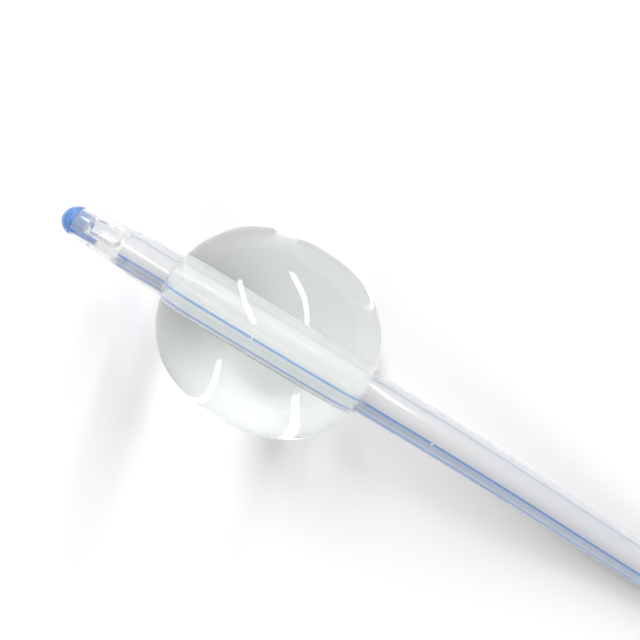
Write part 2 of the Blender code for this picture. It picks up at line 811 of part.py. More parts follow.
def main():
    """Build the catheter."""
    clear_scene()
    clear = make_material("clear_silicone", (0.86, 0.9, 0.92), 0.2, alpha=0.5)
    milky = make_material("milky_silicone", (0.82, 0.87, 0.9), 0.25)
    blue = make_material("blue_silicone", (0.13, 0.28, 0.62), 0.3)
    water = make_material("water", (0.8, 0.88, 0.87), 0.02, alpha=0.3)
    white = make_material("white_plastic", (0.86, 0.87, 0.86), 0.35)
    orange = make_material("orange_plastic", (0.9, 0.32, 0.05), 0.35)
    rubber = make_material("dark_rubber", (0.05, 0.05, 0.055), 0.6)
    steel = make_material("spring_steel", (0.6, 0.6, 0.62), 0.25, metallic=1.0)
    film = make_material("tie_film", (0.85, 0.86, 0.84), 0.5)
    frame = head_matrix()
    head = make_frame("head_frame", frame)
    hub = make_frame("funnel_frame", hub_matrix())
    arm = make_frame("arm_frame", arm_matrix(), hub)
    make_tip_cap(head, blue)
    make_eye_section(head, clear)
    make_sleeve(head, frame, clear)
    make_fill(head, frame, water)
    make_shaft(milky)
    make_funnel(hub, arm, milky)
    at = valve_places()
    make_housing(arm, at, white)
    make_size_ring(arm, at, orange)
    make_plunger(arm, at, white)
    make_seal(arm, at, rubber)
    make_retainer(arm, at, white)
    make_spring(arm, at, steel)
    make_tie(film)
    bpy.context.view_layer.update()


main()
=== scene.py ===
"""A silicone urinary balloon catheter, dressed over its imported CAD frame.

The head (blue tip, eye section, water-filled balloon) lies towards -X, the striped shaft runs
down to the table and out along +X, is folded once in a tie and ends in the drainage funnel with
its sprung inflation valve. Lengths are in metres, +Z is up and the table is at Z = 0.
"""

import json
import logging
import math
from dataclasses import dataclass, field
from enum import Enum

import bmesh
import bpy
from mathutils import Matrix, Vector


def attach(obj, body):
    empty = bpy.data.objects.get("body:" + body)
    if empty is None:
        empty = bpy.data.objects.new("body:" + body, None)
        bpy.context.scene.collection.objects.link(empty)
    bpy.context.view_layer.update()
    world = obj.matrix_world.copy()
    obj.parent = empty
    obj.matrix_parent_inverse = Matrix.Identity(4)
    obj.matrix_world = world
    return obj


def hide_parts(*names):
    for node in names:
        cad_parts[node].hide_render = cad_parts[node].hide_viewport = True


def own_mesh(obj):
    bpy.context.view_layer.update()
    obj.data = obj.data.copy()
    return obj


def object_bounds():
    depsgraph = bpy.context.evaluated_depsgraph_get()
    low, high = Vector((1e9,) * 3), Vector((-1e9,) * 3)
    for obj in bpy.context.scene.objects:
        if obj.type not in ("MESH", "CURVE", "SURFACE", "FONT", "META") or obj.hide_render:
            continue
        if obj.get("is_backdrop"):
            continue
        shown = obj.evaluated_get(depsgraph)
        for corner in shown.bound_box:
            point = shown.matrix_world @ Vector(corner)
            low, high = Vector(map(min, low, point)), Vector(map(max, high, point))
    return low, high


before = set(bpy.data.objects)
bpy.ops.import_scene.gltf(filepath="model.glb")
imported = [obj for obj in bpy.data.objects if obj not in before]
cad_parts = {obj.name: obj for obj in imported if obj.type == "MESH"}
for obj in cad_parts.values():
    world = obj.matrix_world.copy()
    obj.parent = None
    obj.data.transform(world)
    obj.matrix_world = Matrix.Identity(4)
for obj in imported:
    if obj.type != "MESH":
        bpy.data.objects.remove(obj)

MM = 0.001
IMAGE_SIDE = 640

WELD = 0.0001 * MM
CAD_WELD = 0.001 * MM
SHARP = 35.0  # degrees past which an edge stays sharp
CAD_SHARP = 28.0
INFLATION_SIDE = 50.0  # degrees round the tube, from its top towards its right-hand side
BODY = "catheter"  # the body that every piece made here rides on

WHOLE = (0.0, 1.0)
NOISE_SPAN = (0.3, 0.7)  # where a noise's values lie
MOST_NOISE = (0.35, 0.65)  # where most of them do
NOISE_DETAIL = 4.0
WAVE_DEPTH = 0.1 * MM
RIM_FROM = 0.21  # how far a surface turns away where its rim starts

log = logging.getLogger("catheter")

Point = tuple[float, float, float]
Colour = tuple[float, float, float]
Span = tuple[float, float]
Profile = list[Span]
Mesh = bmesh.types.BMesh
Piece = bpy.types.Object
Material = bpy.types.Material
Node = bpy.types.Node
Socket = bpy.types.NodeSocket
Value = float | Colour | Socket


class Way(Enum):
    """How a value goes from one end of its span to the other."""

    STRAIGHT = "LINEAR"
    EASED = "SMOOTHSTEP"


class Kind(Enum):
    """What is mixed."""

    NUMBERS = "FLOAT"
    COLOURS = "RGBA"


# ---- mesh helpers


def spun(profile: Profile, steps: int) -> Mesh:
    """Spin a closed profile round the X axis.

    Args:
        profile: points as (along, radius).
        steps: how many steps go round.

    Returns:
        A closed mesh that faces outwards.
    """
    mesh = bmesh.new()
    points = [mesh.verts.new((along, 0.0, -radius)) for along, radius in profile]
    lines = [mesh.edges.new(pair) for pair in zip(points, points[1:] + points[:1])]
    bmesh.ops.spin(
        mesh,
        geom=points + lines,
        cent=(0.0, 0.0, 0.0),
        axis=(1.0, 0.0, 0.0),
        angle=math.tau,
        steps=steps,
        use_merge=True,
    )
    bmesh.ops.remove_doubles(mesh, verts=mesh.verts, dist=WELD)
    bmesh.ops.recalc_face_normals(mesh, faces=mesh.faces)
    return mesh


def piece(
    name: str,
    mesh: Mesh,
    materials: list[Material],
    place: Matrix | None = None,
    sharp: float = SHARP,
) -> Piece:
    """Make a finished piece at the origin, with its place in its mesh.

    Args:
        name: the piece's name.
        mesh: its mesh, in its own frame, which is used up.
        materials: its material slots.
        place: the frame's place in the row.
        sharp: the angle in degrees past which an edge stays sharp.

    Returns:
        The new object.
    """
    if place is not None:
        mesh.transform(place)
    data = bpy.data.meshes.new(name)
    mesh.to_mesh(data)
    mesh.free()
    data.shade_smooth()
    data.set_sharp_from_angle(angle=math.radians(sharp))
    for material in materials:
        data.materials.append(material)
    made = bpy.data.objects.new(name, data)
    bpy.context.collection.objects.link(made)
    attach(made, BODY)
    log.info("piece %s: %d faces", name, len(data.polygons))
    return made


def catmull(points: list[Vector], steps: int = 16) -> list[Vector]:
    """Return a dense smooth line through points; the first and last only steer it.

    Args:
        points: the given points.
        steps: how many points go between two of them.

    Returns:
        The dense line.
    """
    line = []
    for index in range(1, len(points) - 2):
        before, start, end, after = points[index - 1 : index + 3]
        for step in range(steps):
            t = step / steps
            point = 2 * start + (end - before) * t
            point += (2 * before - 5 * start + 4 * end - after) * t**2
            point += (3 * start - before - 3 * end + after) * t**3
            line.append(point * 0.5)
    line.append(points[-2])
    return line


def spaced(line: list[Vector], spacing: float) -> list[Vector]:
    """Return points evenly spaced along a dense line.

    Args:
        line: the dense line.
        spacing: about how far apart the points are.

    Returns:
        The points, both ends among them.
    """
    lengths = [0.0]
    for start, end in zip(line, line[1:]):
        lengths.append(lengths[-1] + (end - start).length)
    count = max(1, round(lengths[-1] / spacing))
    points = []
    at = 0
    for step in range(count + 1):
        target = lengths[-1] * step / count
        while at < len(line) - 2 and lengths[at + 1] < target:
            at += 1
        share = (target - lengths[at]) / (lengths[at + 1] - lengths[at])
        points.append(line[at].lerp(line[at + 1], share))
    return points


def merged_copy(node: str) -> Mesh:
    """Return a copy of a CAD node's mesh with its loose triangles joined.

    Args:
        node: the node's name.

    Returns:
        The joined mesh.
    """
    mesh = bmesh.new()
    mesh.from_mesh(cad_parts[node].data)
    bmesh.ops.remove_doubles(mesh, verts=mesh.verts, dist=CAD_WELD)
    return mesh


def stand_in(name: str, node: str, mesh: Mesh, materials: list[Material]) -> Piece:
    """Make a piece that stands for a CAD node.

    Args:
        name: the piece's name.
        node: the node's name.
        mesh: its mesh, which is used up.
        materials: its material slots.

    Returns:
        The piece.
    """
    made = piece(name, mesh, materials, sharp=CAD_SHARP)
    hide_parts(node)
    return made


def polish(
    made: Piece,
    rounds: list[Matrix],
    most_off: float = 0.12,
    least_level: float = 0.3,
    most_miss: float = 0.05 * MM,
) -> None:
    """Shade the round walls of a CAD mesh as true rounds, not as the flats that they are cut in.

    Args:
        made: the piece.
        rounds: frames whose X axes its round walls go round.
        most_off: how far, as a sine, a wall's normal may turn off its round.
        least_level: how far, as a cosine, a wall's normal has to look out or in.
        most_miss: how far the corners of a flat may lie off its round.
    """
    data = made.data
    frames = [(place.to_3x3(), place.inverted()) for place in rounds]
    normals = [Vector() for _ in data.loops]  # a zero keeps the mesh's own normal
    for face in data.polygons:
        best = most_miss
        chosen = None
        for turn, back in frames:
            middle = back @ face.center
            normal = back.to_3x3() @ face.normal
            out = Vector((0.0, middle.y, middle.z)).normalized()
            level = normal.dot(out)
            off = abs(normal.dot(out.cross(Vector((1.0, 0.0, 0.0)))))
            if off > most_off or abs(level) < least_level:
                continue
            points = (back @ data.vertices[index].co for index in face.vertices)
            heights = [normal.x * p.x + level * math.hypot(p.y, p.z) for p in points]
            miss = max(heights) - min(heights)
            if miss < best:
                best = miss
                chosen = (turn, back, math.copysign(1.0, level))
        if chosen is None:
            continue
        turn, back, side = chosen
        for index in face.loop_indices:
            point = back @ data.vertices[data.loops[index].vertex_index].co
            along = (back.to_3x3() @ data.corner_normals[index].vector).x
            out = Vector((0.0, point.y, point.z)).normalized()
            out *= side * math.sqrt(max(0.0, 1.0 - along**2))
            normals[index] = turn @ Vector((along, out.y, out.z))
    data.normals_split_custom_set(normals)


# ---- finishes


class Nodes:
    """The nodes of a material or a room, under construction."""

    def __init__(self, owner: Material | bpy.types.World) -> None:
        """Take up the nodes of that owner."""
        owner.use_nodes = True
        self.tree = owner.node_tree

    def node(self, kind: str, **values: object) -> Node:
        """Add a node.

        Args:
            kind: the node's type, as it goes on after ShaderNode.
            values: its attributes and what its inputs take, by name with _ for a space.

        Returns:
            The node.
        """
        made = self.tree.nodes.new(f"ShaderNode{kind}")
        for key, value in values.items():
            label = key.replace("_", " ").title().replace("Ior", "IOR")
            if label in made.inputs:
                self.feed(made.inputs[label], value)
            else:
                setattr(made, key, value)
        return made

    def feed(self, target: Socket, value: Value) -> None:
        """Join a socket to an input, or set the input to a number or a colour.

        Args:
            target: the input.
            value: the socket, number or colour.
        """
        if isinstance(value, Socket):
            self.tree.links.new(value, target)
        elif isinstance(value, tuple) and len(target.default_value) > len(value):
            target.default_value = (*value, 1.0)
        else:
            target.default_value = value

    def maths(self, operation: str, *values: Value) -> Socket:
        """Work something out from numbers and sockets.

        Args:
            operation: the node's name for it.
            values: what it is worked out from, in the node's order.

        Returns:
            The outcome.
        """
        made = self.node("Math", operation=operation)
        for target, value in zip(made.inputs, values):
            self.feed(target, value)
        return made.outputs["Value"]

    def graded(self, value: Socket, start: Span, end: Span, way: Way = Way.STRAIGHT) -> Socket:
        """Carry a value from one span of numbers to another.

        Args:
            value: the value.
            start: the span that it comes from.
            end: the span that it goes to.
            way: how it goes from end to end.

        Returns:
            The value in the other span.
        """
        made = self.node("MapRange", interpolation_type=way.value)
        for target, number in zip(made.inputs, (value, *start, *end)):
            self.feed(target, number)
        return made.outputs["Result"]

    def mixed(
        self, share: Socket, first: Value, second: Value, kind: Kind = Kind.COLOURS
    ) -> Socket:
        """Mix two colours, or two numbers.

        Args:
            share: how much of the second there is.
            first: one of them.
            second: the other.
            kind: what they are.

        Returns:
            The mix.
        """
        made = self.node("Mix", data_type=kind.value)
        for label, value in (("Factor", share), ("A", first), ("B", second)):
            self.feed(made.inputs[label], value)
        return made.outputs["Result"]


class Shader(Nodes):
    """A material under construction."""

    def __init__(self, name: str) -> None:
        """Start an empty material of that name."""
        self.material = bpy.data.materials.new(name)
        super().__init__(self.material)
        self.tree.nodes.clear()
        self.output = self.node("OutputMaterial")

    def facing(self) -> Socket:
        """Return how far the surface turns away from the eye or the ray: 0 is squarely on."""
        return self.node("LayerWeight", blend=0.5).outputs["Facing"]

    def let_lamps_through(
        self, surface: Node, tint: Colour, core: float = 1.0, rim: float = 1.0
    ) -> None:
        """Finish the material so that lamps reach what is behind it.

        Args:
            surface: the shader that the eye sees.
            tint: the colour that lamp light takes on its way through.
            core: how bright a lamp is behind it, seen squarely from outside: over 1 in a ball.
            rim: the same, seen aslant.
        """
        clear = self.node("BsdfTransparent", color=tint)
        if core != rim:
            share = self.graded(self.facing(), (0.0, RIM_FROM), (core, rim), Way.EASED)
            side = self.node("NewGeometry").outputs["Backfacing"]
            share = self.mixed(side, share, 1.0, Kind.NUMBERS)
            scaled = self.node("VectorMath", operation="SCALE", vector=tint, scale=share)
            self.feed(clear.inputs["Color"], scaled.outputs["Vector"])
        path = self.node("LightPath").outputs
        lit = self.maths("MAXIMUM", path["Is Shadow Ray"], path["Is Diffuse Ray"])
        mix = self.node("MixShader")
        for target, value in zip(mix.inputs, (lit, surface.outputs[0], clear.outputs[0])):
            self.feed(target, value)
        self.finish(mix)

    def unevenness(self, main: Node, look: "Clear | Haze | Moulded | Striped") -> Socket:
        """Give the gloss its small marks and the surface its faint waves.

        Args:
            main: the main shader.
            look: the finish, which says how uneven it is.

        Returns:
            The noise that both follow.
        """
        at = self.node("TexCoord").outputs["Object"]
        at = self.node("Mapping", vector=at, scale=look.marks).outputs["Vector"]
        noise = self.node("TexNoise", vector=at, scale=1.0, detail=NOISE_DETAIL).outputs["Fac"]
        ends = (max(0.0, look.roughness - look.uneven), look.roughness + look.uneven)
        self.feed(main.inputs["Roughness"], self.graded(noise, NOISE_SPAN, ends))
        waves = self.node("Bump", height=noise, strength=look.bump, distance=WAVE_DEPTH)
        self.feed(main.inputs["Normal"], waves.outputs["Normal"])
        return noise

    def finish(self, surface: Node) -> None:
        """Finish the material with that shader."""
        self.feed(self.output.inputs["Surface"], surface.outputs[0])


@dataclass(frozen=True)
class Clear:
    """Clear silicone with water behind it: one body that bends the light."""

    name: str
    colour: Colour
    ior: float
    roughness: float = 0.0
    shadow: Colour = (0.93, 0.95, 0.95)
    core: float = 1.0
    rim: float = 1.0
    marks: Point = (500.0, 90.0, 90.0)  # drawn out round the balloon
    uneven: float = 0.01
    bump: float = 0.02

    def build(self) -> Material:
        """Return the material."""
        shader = Shader(self.name)
        main = shader.node(
            "BsdfPrincipled", base_color=self.colour, transmission_weight=1.0, ior=self.ior
        )
        shader.unevenness(main, self)
        shader.let_lamps_through(main, self.shadow, self.core, self.rim)
        return shader.material


@dataclass(frozen=True)
class Wet:
    """A face with silicone or water on both sides, where light goes straight on."""

    name: str
    tint: Colour

    def build(self) -> Material:
        """Return the material."""
        shader = Shader(self.name)
        shader.finish(shader.node("BsdfTransparent", color=self.tint))
        return shader.material


@dataclass(frozen=True)
class Haze:
    """The bonded cuff: silicone with fine glue marks that scatters a little light."""

    name: str
    colour: Colour = (0.95, 0.955, 0.955)
    roughness: float = 0.4
    uneven: float = 0.1
    bump: float = 0.05
    thinnest: float = 0.12
    thickest: float = 0.2
    marks: Point = (250.0, 250.0, 250.0)
    shadow: Colour = (0.985, 0.985, 0.985)

    def build(self) -> Material:
        """Return the material."""
        shader = Shader(self.name)
        main = shader.node("BsdfPrincipled", base_color=self.colour)
        noise = shader.unevenness(main, self)
        thickness = shader.graded(noise, MOST_NOISE, (self.thinnest, self.thickest))
        shader.feed(main.inputs["Alpha"], thickness)
        shader.let_lamps_through(main, self.shadow)
        return shader.material


@dataclass(frozen=True)
class Moulded:
    """An opaque or milky moulded surface with a faint unevenness in its gloss."""

    name: str
    colour: Colour
    roughness: float
    transmission: float = 0.0
    ior: float = 1.45
    metallic: float = 0.0
    milk: float = 0.0
    milk_depth: float = 1.0 * MM
    gloss: float = 0.25
    gloss_roughness: float = 0.08
    marks: Point = (900.0, 900.0, 900.0)
    uneven: float = 0.08
    mottle: float = 0.1
    bump: float = 0.08
    shadow: Colour | None = None

    def build(self) -> Material:
        """Return the material."""
        shader = Shader(self.name)
        main = shader.node(
            "BsdfPrincipled",
            transmission_weight=self.transmission,
            ior=self.ior,
            metallic=self.metallic,
            coat_weight=self.gloss,
            coat_roughness=self.gloss_roughness,
            subsurface_weight=self.milk,
            subsurface_scale=self.milk_depth,
        )
        noise = shader.unevenness(main, self)
        dark, light = (
            tuple(min(1.0, part * share) for part in self.colour)
            for share in (1 - self.mottle, 1 + self.mottle)
        )
        share = shader.graded(noise, MOST_NOISE, WHOLE)
        shader.feed(main.inputs["Base Color"], shader.mixed(share, dark, light))
        if self.shadow is None:
            shader.finish(main)
        else:
            shader.let_lamps_through(main, self.shadow)
        return shader.material


@dataclass(frozen=True)
class Striped:
    """Milky silicone with a pale blue band between two darker blue lines in its wall.

    The mesh carries an attribute, around, with the cosine and sine of the turn from the middle
    of the band, and the distance along the tube. Across the band, 0 is its middle, 0.5 the
    middle of either line.
    """

    name: str
    ior: float
    transmission: float
    roughness: float
    wet: bool = False
    gloss: float = 0.6
    gloss_roughness: float = 0.05
    milk: float = 0.5
    milk_depth: float = 1.5 * MM
    marks: Point = (700.0, 700.0, 700.0)
    uneven: float = 0.04
    bump: float = 0.02
    silicone: Colour = (0.96, 0.965, 0.975)
    band: Colour = (0.68, 0.78, 1.0)
    line: Colour = (0.27, 0.46, 0.95)
    half_width: float = math.radians(18.5)
    line_width: float = math.radians(6.5)  # of the line nearer the top
    low_width: float = math.radians(14.0)  # of the other, which the clear wall spreads
    edge: Colour = (0.7, 0.74, 0.86)  # painted shade: the drain's edge seen faintly through the wall, and the rims seen aslant
    edge_at: float = math.radians(88.0)
    edge_width: float = math.radians(8.0)
    rim_shade_share: float = 0.4  # of that colour, painted as shade where the wall is seen aslant
    aslant: float = 0.3  # how far the wall turns away where that share is full
    soft: float = 0.3  # of half a line's width, either side of its limits
    faded: float = 1.6  # of half a line's width, where the body is wholly the silicone's
    nick_at: float = 42.6 * MM
    nick_width: float = 0.3 * MM
    body: float = 0.55
    pigment: float = 0.9
    shadow: Colour = (0.2, 0.21, 0.23)

    def build(self) -> Material:
        """Return the material."""
        shader = Shader(self.name)
        main = shader.node(
            "BsdfPrincipled",
            roughness=self.roughness,
            transmission_weight=self.transmission,
            ior=self.ior,
            subsurface_weight=self.milk,
            subsurface_scale=self.milk_depth,
            subsurface_radius=(1.0, 1.0, 1.0),
            coat_weight=self.gloss,
            coat_roughness=self.gloss_roughness,
        )
        if not self.wet:
            shader.unevenness(main, self)
        turn = shader.node("Attribute", attribute_name="around").outputs["Vector"]
        cosine, sine, along = shader.node("SeparateXYZ", vector=turn).outputs
        angle = shader.maths("ABSOLUTE", shader.maths("ARCTAN2", sine, cosine))
        share = shader.maths("DIVIDE", angle, self.half_width * 2)
        low = shader.maths("GREATER_THAN", sine, 0.0)
        narrow = shader.graded(low, WHOLE, (1.0, self.line_width / self.low_width))
        off = shader.maths("SUBTRACT", share, 0.5)
        across = shader.maths("MULTIPLY_ADD", off, narrow, 0.5)
        edge = self.line_width / self.half_width / 4
        soft = self.soft * edge
        colour = self.band
        for limit, beyond in ((0.5 - edge, self.line), (0.5 + edge, self.silicone)):
            past = shader.graded(across, (limit - soft, limit + soft), WHOLE)
            colour = shader.mixed(past, colour, beyond)
        high = shader.maths("LESS_THAN", sine, -math.sin(self.half_width - self.line_width))
        nick = shader.maths("COMPARE", along, self.nick_at, self.nick_width / 2)
        # Painted shade: a line where the drain's edge shows faintly through the wall.
        painted_drain_shade = shader.maths("COMPARE", angle, self.edge_at, self.edge_width / 2)
        # Painted shade: outside the band, the silicone darkens towards the edge colour where the
        # wall is seen aslant.
        rim_shade = shader.graded(shader.facing(), (0.0, self.aslant), (0.0, self.rim_shade_share))
        plain = shader.maths("GREATER_THAN", across, 0.5 + edge)
        tones = ((nick, high, self.silicone), (painted_drain_shade, high, self.edge), (rim_shade, plain, self.edge))
        for where, only, tone in tones:
            colour = shader.mixed(shader.maths("MULTIPLY", where, only), colour, tone)
        shader.feed(main.inputs["Base Color"], colour)
        if self.wet:
            limits = (0.5 + self.faded * edge, 0.5 + edge)
            opaque = shader.graded(across, limits, (self.body, self.pigment))
            shader.feed(main.inputs["Alpha"], opaque)
        shader.let_lamps_through(main, self.shadow)
        return shader.material


@dataclass(frozen=True)
class Finishes:
    """Every finish of the catheter."""

    skin: Clear = Clear(
        "balloon_skin", (0.94, 0.97, 0.943), 1.36, shadow=(0.98, 0.99, 0.985), core=3.3,
        rim=0.1, bump=0.01,
    )
    cuff: Haze = Haze("cuff_skin")
    wet: Wet = Wet("wet_face", (1.0, 1.0, 1.0))
    glue: Haze = Haze("bonded_cuff", thinnest=0.06, thickest=0.3, marks=(500.0, 500.0, 500.0))
    tip: Moulded = Moulded(
        "clear_silicone", (0.96, 0.965, 0.965), 0.14, transmission=0.76, ior=1.41, gloss=1.0,
        mottle=0.01, uneven=0.03, bump=0.02, shadow=(0.93, 0.94, 0.95),
    )
    cap: Moulded = Moulded(
        "blue_silicone", (0.19, 0.39, 0.79), 0.18, transmission=0.2, ior=1.41, milk=0.5,
        marks=(2600.0, 2600.0, 2600.0), mottle=0.16, shadow=(0.55, 0.64, 0.82),
    )
    shaft: Striped = Striped("striped_silicone", 1.41, 0.28, 0.2)
    shaft_wet: Striped = Striped(
        "striped_silicone_wet", 1.41, 0.0, 0.5, wet=True, gloss=0.0, band=(0.9, 0.93, 0.98),
        # edge: the colour of the painted shade under the water.
        edge=(0.8, 0.84, 0.89), line=(0.36, 0.53, 0.92), low_width=math.radians(8.0),
        silicone=(0.96, 0.965, 0.97), nick_at=18.2 * MM, nick_width=0.22 * MM,
        shadow=(0.82, 0.83, 0.84),
    )
    lumen: Clear = Clear("lumen_wall", (0.97, 0.975, 0.98), 1.41, 0.25, (0.95, 0.955, 0.96))
    funnel: Moulded = Moulded(
        "milky_silicone", (0.84, 0.86, 0.87), 0.25, ior=1.41, gloss=0.5,
        mottle=0.015, bump=0.02, marks=(250.0, 250.0, 250.0), shadow=(0.6, 0.63, 0.67),
    )
    orange: Moulded = Moulded("orange_plastic", (0.86, 0.27, 0.03), 0.3, mottle=0.05)
    white: Moulded = Moulded("white_plastic", (0.83, 0.84, 0.83), 0.3, mottle=0.02)
    rubber: Moulded = Moulded("dark_rubber", (0.03, 0.03, 0.035), 0.6, bump=0.3)
    steel: Moulded = Moulded("spring_steel", (0.6, 0.6, 0.62), 0.22, metallic=1.0, gloss=0.0)
    film: Moulded = Moulded("tie_film", (0.84, 0.85, 0.83), 0.4, transmission=0.2, mottle=0.03)


# ---- the head


@dataclass
class Head:
    """The frame that the tip and the balloon are built in: X towards the tail."""

    shaft_od: float = 5.33 * MM
    seat_cut: float = 0.225 * MM
    balloon_od: float = 24.0 * MM
    balloon_length: float = 26.6 * MM
    squareness: float = 2.3
    wall: float = 0.25 * MM
    flat_depth: float = 0.35 * MM
    neck_from_tip: float = 14.5 * MM
    bond_gap: float = 0.1 * MM
    tilt: float = math.radians(4.0)
    collar_wall: float = 0.235 * MM
    collar_inside: float = 3.3 * MM
    collar_outside: float = 0.7 * MM
    shoulder: float = 4.0 * MM

    @property
    def place(self) -> Matrix:
        """The head's place in the row."""
        lift = Matrix.Translation((0.0, 0.0, self.balloon_od / 2 - self.flat_depth))
        return lift @ Matrix.Rotation(self.tilt, 4, "Y")

    @property
    def half(self) -> float:
        """Half the balloon's length."""
        return self.balloon_length / 2

    @property
    def tip_end(self) -> float:
        """Where the tip ends."""
        return -self.half - self.neck_from_tip

    @property
    def seat_radius(self) -> float:
        """The radius of the ground seat."""
        return self.shaft_od / 2 - self.seat_cut

    @property
    def collar_radius(self) -> float:
        """The outer radius of the rear cuff."""
        return self.shaft_od / 2 + self.bond_gap + self.collar_wall

    @property
    def seat_rear(self) -> float:
        """Where the ground seat ends."""
        return self.half - self.collar_inside

    def balloon_curve(self, front: float, rear: float, points: int = 64) -> Profile:
        """Return the balloon's profile from one neck to the other.

        Args:
            front: the radius that it starts at.
            rear: the radius that it ends at.
            points: how many steps it has.

        Returns:
            Points as (along, radius).
        """
        radius = self.balloon_od / 2
        power = 2 / self.squareness
        start = math.asin((front / radius) ** (1 / power))
        end = math.pi - math.asin((rear / radius) ** (1 / power))
        curve = []
        for step in range(points + 1):
            angle = start + (end - start) * step / points
            reach = math.copysign(abs(math.cos(angle)) ** power, -math.cos(angle))
            curve.append((self.half * reach, radius * math.sin(angle) ** power))
        return curve


def around(radius: float, side: float) -> Vector:
    """Return the head's offset at a radius and a turn from the top to the right-hand side."""
    turn = -math.radians(side)
    return Vector((0.0, radius * math.sin(turn), radius * math.cos(turn)))


@dataclass
class Tip:
    """The blue cap with its plug and peg, and the clear section with its eyes."""

    head: Head
    finishes: Finishes
    droop: float = 0.32 * MM
    length: float = 8.35 * MM
    cap_length: float = 1.75 * MM
    plug_length: float = 1.35 * MM
    plug_radius: float = 1.15 * MM
    drain_offset: float = 0.15 * MM
    peg_length: float = 2.1 * MM
    peg_radius: float = 0.35 * MM
    peg_offset: float = 1.5 * MM
    slack: float = 0.14 * MM
    endwise: float = 0.9  # the cosine past which a face looks along the tip

    def plugs(self) -> list[tuple[Vector, float, float]]:
        """Return the middle, the radius and the end of the cap's plug and of its peg."""
        end = self.head.tip_end + self.cap_length + self.plug_length
        return [
            (around(-self.drain_offset, INFLATION_SIDE), self.plug_radius, end),
            (around(self.peg_offset, INFLATION_SIDE), self.peg_radius, end + self.peg_length),
        ]

    def bend(self, made: Piece) -> None:
        """Let a piece droop a little towards the tip.

        Args:
            made: the piece.
        """
        back = self.head.place.inverted()
        root = self.head.tip_end + self.length
        for point in made.data.vertices:
            share = max(0.0, (root - (back @ point.co).x) / self.length)
            point.co.y -= self.droop * share**2

    def join(self, mesh: Mesh) -> None:
        """Let light straight through the walls that are bonded to the cap or the shaft.

        Args:
            mesh: the clear section before it droops.
        """
        ends = (self.head.tip_end + self.cap_length, self.head.tip_end + self.length)
        back = self.head.place.inverted()
        for face in mesh.faces:
            at = back @ face.calc_center_median()
            held = any(
                at.x < end + self.slack
                and math.hypot(at.y - middle.y, at.z - middle.z) < radius + self.slack
                for middle, radius, end in self.plugs()
            )
            flat = abs((back.to_3x3() @ face.normal).x) > self.endwise
            if held or (flat and min(abs(at.x - end) for end in ends) < self.slack):
                face.material_index = 1

    def build(self) -> None:
        """Make both of the tip's pieces."""
        blue = [self.finishes.cap.build()]
        cap = stand_in("blue_cap", "tip_cap", merged_copy("tip_cap"), blue)
        mesh = merged_copy("tip_eye_section")
        self.join(mesh)
        clear = [self.finishes.tip.build(), self.finishes.wet.build()]
        section = stand_in("eye_section", "tip_eye_section", mesh, clear)
        middles = (Vector(), *(middle for middle, _, _ in self.plugs()))
        rounds = [self.head.place @ Matrix.Translation(middle) for middle in middles]
        for made in (cap, section):
            polish(made, rounds)
            self.bend(made)


def dress(node: str, material: Material) -> None:
    """Give a kept CAD node its material.

    Args:
        node: the node's name.
        material: the material.
    """
    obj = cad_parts[node]
    obj.material_slots[0].material = material
    log.info("dressed %s with %s", node, material.name)


